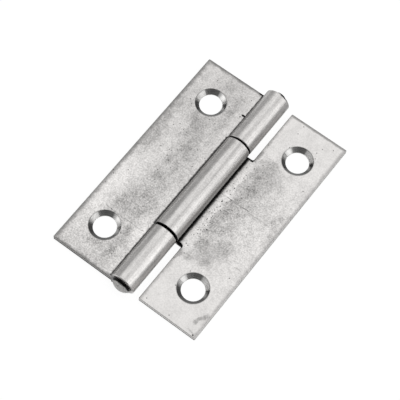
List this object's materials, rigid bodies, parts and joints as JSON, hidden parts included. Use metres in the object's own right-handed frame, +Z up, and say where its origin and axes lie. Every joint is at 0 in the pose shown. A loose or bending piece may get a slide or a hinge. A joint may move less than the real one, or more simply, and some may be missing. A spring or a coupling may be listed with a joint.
{
  "type": "narrow butt hinge",
  "caption": "Narrow butt hinge of bright steel: flat leaves with countersunk screw holes, knuckles rolled from the sheet round a headed fixed pin.",
  "frame": {"origin": "middle of the leaves' length on the barrel's centre line, on the plane of the leaves' backs", "axes": "+X across the open leaves towards the leaf with the middle knuckle, +Y along the barrel away from the pin's head, +Z up out of the leaves' faces on the side where the barrel stands"},
  "size_m": [0.0342, 0.0525, 0.0054],
  "materials": {
    "leaf_steel": "bright cold-rolled mild steel, tumbled, self colour",
    "pin_steel": "drawn steel wire, self colour"
  },
  "bodies": {
    "outer_leaf": {"leaf_outer_knuckles": "leaf_steel", "hinge_pin": "pin_steel"},
    "middle_leaf": {"leaf_middle_knuckle": "leaf_steel"}
  },
  "joints": [
    {"name": "leaf_swing", "type": "hinge", "parent": "outer_leaf", "child": "middle_leaf", "pos_m": [0, 0, 0.00271], "axis": [0, -1, 0], "range_deg": [-90, 190]}
  ]
}
